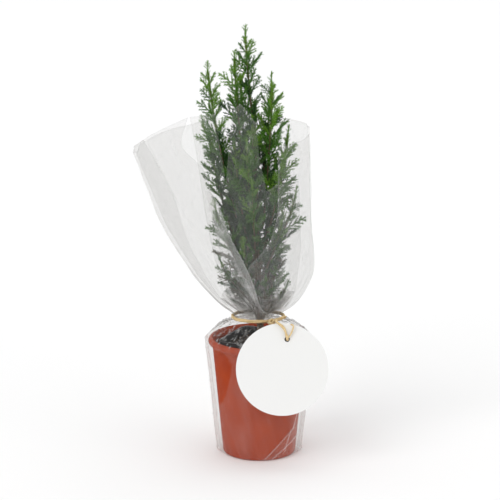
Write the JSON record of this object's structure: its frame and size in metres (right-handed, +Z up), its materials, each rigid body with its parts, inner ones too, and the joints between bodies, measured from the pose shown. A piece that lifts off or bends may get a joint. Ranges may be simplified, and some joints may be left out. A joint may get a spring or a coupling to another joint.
{
  "type": "potted dwarf cypress",
  "caption": "Small upright conifer in a tapered terracotta pot, gathered in clear film with a raffia tie and a blank round card tag.",
  "frame": {"origin": "centre of the pot's flat underside", "axes": "+Z up along the pot's axis, -Y towards the side where the tag hangs, +X to the right seen from there"},
  "size_m": [0.1218, 0.0787, 0.276],
  "materials": {
    "terracotta": "matt fired clay",
    "grow_plastic": "thin black moulded plastic",
    "soil": "dark crumbly compost",
    "bark": "thin brown bark",
    "foliage": "short green needles",
    "film": "clear crisp wrapping film",
    "raffia": "dry straw-coloured fibre",
    "card": "smooth white card"
  },
  "bodies": {
    "root": {"bough_back_second": "bark", "bough_front_middle": "bark", "bough_left_outer": "bark", "bough_left_second": "bark", "bough_left_third": "bark", "bough_right_inner": "bark", "bough_right_second": "bark", "bough_side_13": "bark", "bough_side_16": "bark", "bough_side_19": "bark", "bough_side_20": "bark", "bough_side_21": "bark", "bough_side_22": "bark", "bough_side_24": "bark", "bough_side_25": "bark", "film_back": "film", "film_left_flap": "film", "film_middle": "film", "film_right_flap": "film", "film_sleeve": "film", "foliage_back_second": "foliage", "foliage_front_middle": "foliage", "foliage_leader": "foliage", "foliage_left_outer": "foliage", "foliage_left_second": "foliage", "foliage_left_third": "foliage", "foliage_right_inner": "foliage", "foliage_right_second": "foliage", "foliage_side_01": "foliage", "foliage_side_02": "foliage", "foliage_side_03": "foliage", "foliage_side_04": "foliage", "foliage_side_05": "foliage", "foliage_side_06": "foliage", "foliage_side_07": "foliage", "foliage_side_08": "foliage", "foliage_side_09": "foliage", "foliage_side_11": "foliage", "foliage_side_12": "foliage", "foliage_side_13": "foliage", "foliage_side_14": "foliage", "foliage_side_15": "foliage", "foliage_side_16": "foliage", "foliage_side_17": "foliage", "foliage_side_19": "foliage", "foliage_side_20": "foliage", "foliage_side_21": "foliage", "foliage_side_22": "foliage", "foliage_side_23": "foliage", "foliage_side_24": "foliage", "foliage_side_25": "foliage", "grow_pot": "grow_plastic", "pot": "terracotta", "raffia_end": "raffia", "raffia_knot": "raffia", "raffia_loop": "raffia", "raffia_tail": "raffia", "soil": "soil", "tag": "card", "trunk": "bark"}
  },
  "joints": []
}
